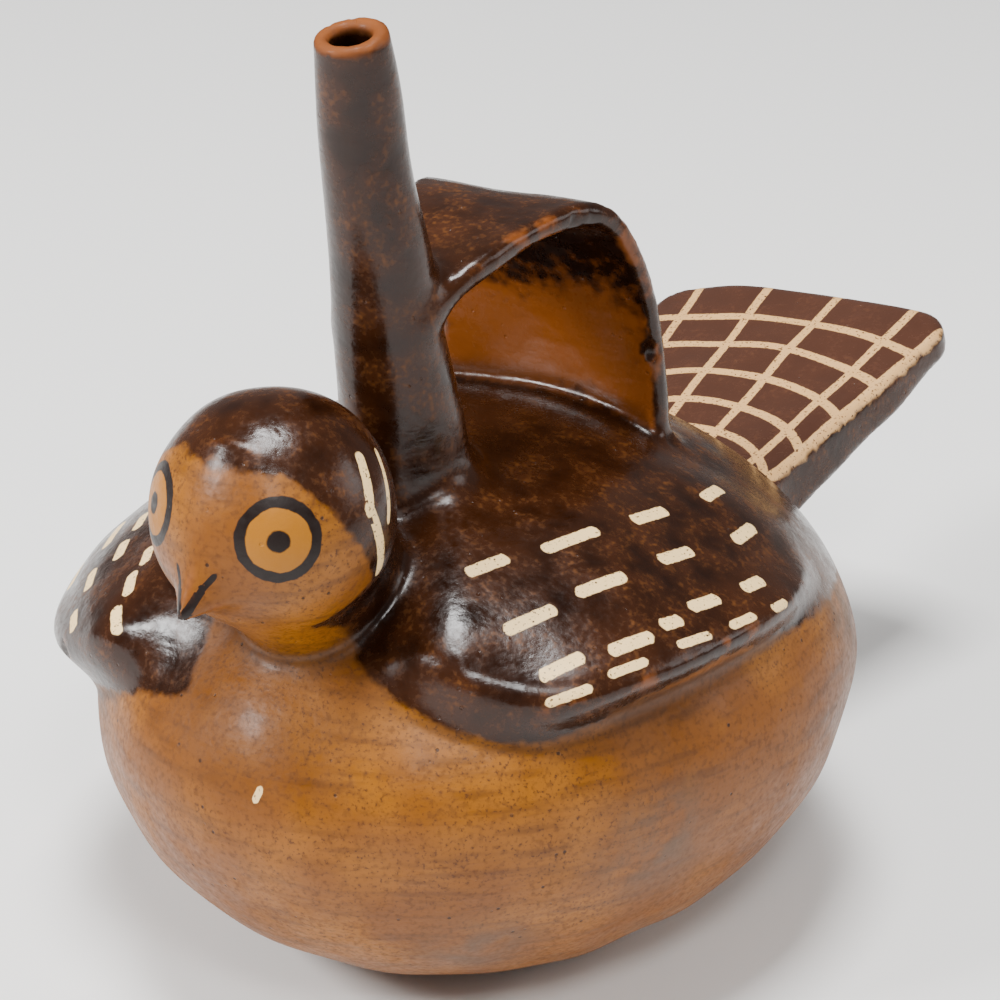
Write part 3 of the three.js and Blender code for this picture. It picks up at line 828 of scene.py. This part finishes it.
class BottleSizes(bpy.types.PropertyGroup):
    wall: length_setting("Wall", "Thickness of the belly's wall", 5.5)
    mouth_radius: length_setting("Mouth radius", "Radius of the hole in the spout's rim", 4.0)
    strap_thickness: length_setting("Strap thickness", "Thickness of the handle", 4.8)
    wing_swell: length_setting("Wing swell", "How far the shoulders of the wings stand out", 9.0)
    wing_lip: length_setting("Wing lip", "How far the wings' lower edge stands out", 4.5)
    unevenness: length_setting("Unevenness", "Depth of the marks of shaping by hand", 0.3)
    net_step: length_setting("Net step", "Spacing of the mesh's points", 1.3)
    dash_width: length_setting("Dash width", "Width of the cream dashes", 2.8)
    grid_line_width: length_setting("Grid line width", "Width of the lines on the tail", 2.3)


class BottleColours(bpy.types.PropertyGroup):
    dark_slip: colour_setting("Dark slip", "Iron slip where it is thick", "190903")
    brown_slip: colour_setting("Brown slip", "Iron slip where it is thin", "3a1d0b")
    rubbed_slip: colour_setting("Rubbed slip", "Slip worn to golden specks", "6c4018")
    tail_slip: colour_setting("Tail slip", "Duller slip on the tail", "4c3025")
    dust: colour_setting("Dust", "Grey bloom on the slip", "8d7c72")
    ochre_slip: colour_setting("Ochre slip", "Belly and face", "744106")
    pale_ochre: colour_setting("Pale ochre", "Ochre where it is rubbed pale", "8c540c")
    deep_ochre: colour_setting("Deep ochre", "Streaks of thick ochre", "4c2802")
    iris_ochre: colour_setting("Iris", "Ochre in the ring of the eye", "9c6212")
    smoke: colour_setting("Smoke", "Grey fire clouds on the belly", "5c4636")
    cream_paint: colour_setting("Cream", "Dashes on the wings", "f4cf92")
    aged_cream: colour_setting("Aged cream", "Lines on the tail", "cc9f68")
    black_line: colour_setting("Black line", "Ring and pupil of the eye, and the mouth", "140602")
    bare_clay: colour_setting("Bare clay", "Orange clay at the rim and worn edges", "7d4214")


class StageSettings(bpy.types.PropertyGroup):
    bearing: bpy.props.FloatProperty(name="Bearing", description="Camera's turn from the front",
                                     default=math.radians(33), subtype="ANGLE")
    height: bpy.props.FloatProperty(name="Height", description="Camera's angle above the horizon",
                                    default=math.radians(26), subtype="ANGLE")
    distance: length_setting("Distance", "From the camera to the bottle's middle", 660)
    floor: colour_setting("Floor", "Pale floor", "f4f3f1")


class BOTTLE_OT_vessel(bpy.types.Operator):
    """Builds the bird bottle as one hollow piece of clay with its slips and painted marks"""
    bl_idname = "bottle.vessel"
    bl_label = "Bird bottle"

    def execute(self, context):
        sizes = context.scene.bottle_sizes

        def outside(x, y, z):
            return outer_form(x, y, z, sizes)

        scoops = []
        for centre, radius, depth in CHIPS:
            spot = settle(outside, np.array([centre], float), 6, 3.0)
            scoops.append(((spot + unit(gradient(outside, spot)) * (radius - depth))[0], radius))

        def clay(x, y, z):
            return clay_form(x, y, z, sizes, scoops)

        step = sizes.net_step / MM * 1
        points, faces = clay_net(clay, BOX_LOW - 3.7, BOX_HIGH + 3.7, step)
        points = settle(clay, points, 3)
        faces = facing_out(points, faces)
        mesh = bpy.data.meshes.new("bird_bottle")
        mesh.from_pydata(points * MM, [], faces)
        if mesh.validate():
            raise RuntimeError("the bottle's net has faulty faces")
        piece = bpy.data.objects.new("bird_bottle", mesh)
        context.scene.collection.objects.link(piece)
        thin_inner_wall(piece, outside(*points.T) < -3, 0.2)
        piece.data.shade_smooth()
        paint(piece, sizes, clay, outside)
        piece.data.materials.clear()
        piece.data.materials.append(burnished_slipware(
            context.scene.bottle_colours, sizes.grid_line_width))
        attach(piece, "root")
        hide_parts("bird_body", "spout_and_handle")
        return {"FINISHED"}


class BOTTLE_OT_stage(bpy.types.Operator):
    """Sets up the pale floor, the soft lights and the camera"""
    bl_idname = "bottle.stage"
    bl_label = "Stage"

    def execute(self, context):
        settings = context.scene.bottle_stage
        mesh = bpy.data.meshes.new("floor")
        mesh.from_pydata([(-4, -4, 0), (4, -4, 0), (4, 4, 0), (-4, 4, 0)], [], [(0, 1, 2, 3)])
        mesh.materials.append(plain_material("matt_floor_paint", settings.floor, 0.9))
        floor = bpy.data.objects.new("floor", mesh)
        context.scene.collection.objects.link(floor)
        target = Vector((2.0, 4.9, 86.4)) * MM
        # Each light: name, place in metres, size in metres, watts
        for name, place, size, power in (("window", (-0.8, -1.05, 1.0), 0.42, 31.0),
                                         ("top", (0.0, -0.1, 1.5), 0.45, 30.0),
                                         ("front", (0.66, -0.7, 1.15), 0.3, 8.0),
                                         ("side", (1.2, 0.7, 0.7), 0.7, 6.0)):
            lamp = bpy.data.lights.new(name, "AREA")
            lamp.shape, lamp.size, lamp.energy = "SQUARE", size, power
            light = bpy.data.objects.new(name, lamp)
            light.location = place
            light.rotation_euler = (target - light.location).to_track_quat("-Z", "Y").to_euler()
            context.scene.collection.objects.link(light)
        world = bpy.data.worlds.new("studio_room")
        world.use_nodes = True
        world.node_tree.nodes["Background"].inputs["Color"].default_value = (1, 1, 1, 1)
        world.node_tree.nodes["Background"].inputs["Strength"].default_value = 0.24
        context.scene.world = world
        lens = bpy.data.cameras.new("camera")
        lens.lens, lens.sensor_width, lens.clip_start = 114.66, 36, 0.01
        camera = bpy.data.objects.new("camera", lens)
        a, e = settings.bearing, settings.height
        back = Vector((math.sin(a) * math.cos(e), -math.cos(a) * math.cos(e), math.sin(e)))
        camera.location = target + back * settings.distance
        camera.rotation_euler = (-back).to_track_quat("-Z", "Y").to_euler()
        context.scene.collection.objects.link(camera)
        context.scene.camera = camera
        return {"FINISHED"}


class BOTTLE_PT_sidebar(bpy.types.Panel):
    """Lists the bottle's operators"""
    bl_idname = "BOTTLE_PT_sidebar"
    bl_label = "Bird Bottle"
    bl_space_type = "VIEW_3D"
    bl_region_type = "UI"
    bl_category = "Bottle"

    def draw(self, context):
        for group in ("bottle_sizes", "bottle_colours", "bottle_stage"):
            held = getattr(context.scene, group)
            for name in held.__annotations__:
                self.layout.prop(held, name)
        for operator in (BOTTLE_OT_vessel, BOTTLE_OT_stage):
            self.layout.operator(operator.bl_idname)


CLASSES = (BottleSizes, BottleColours, StageSettings, BOTTLE_OT_vessel, BOTTLE_OT_stage,
           BOTTLE_PT_sidebar)
GROUPS = {"bottle_sizes": BottleSizes, "bottle_colours": BottleColours, "bottle_stage": StageSettings}


def register():
    for made in CLASSES:
        bpy.utils.register_class(made)
    for name, group in GROUPS.items():
        setattr(bpy.types.Scene, name, bpy.props.PointerProperty(type=group))


def unregister():
    for name in GROUPS:
        delattr(bpy.types.Scene, name)
    for made in reversed(CLASSES):
        bpy.utils.unregister_class(made)


def main():
    register()
    bpy.ops.bottle.vessel()
    bpy.ops.bottle.stage()


if __name__ == "__main__":
    main()
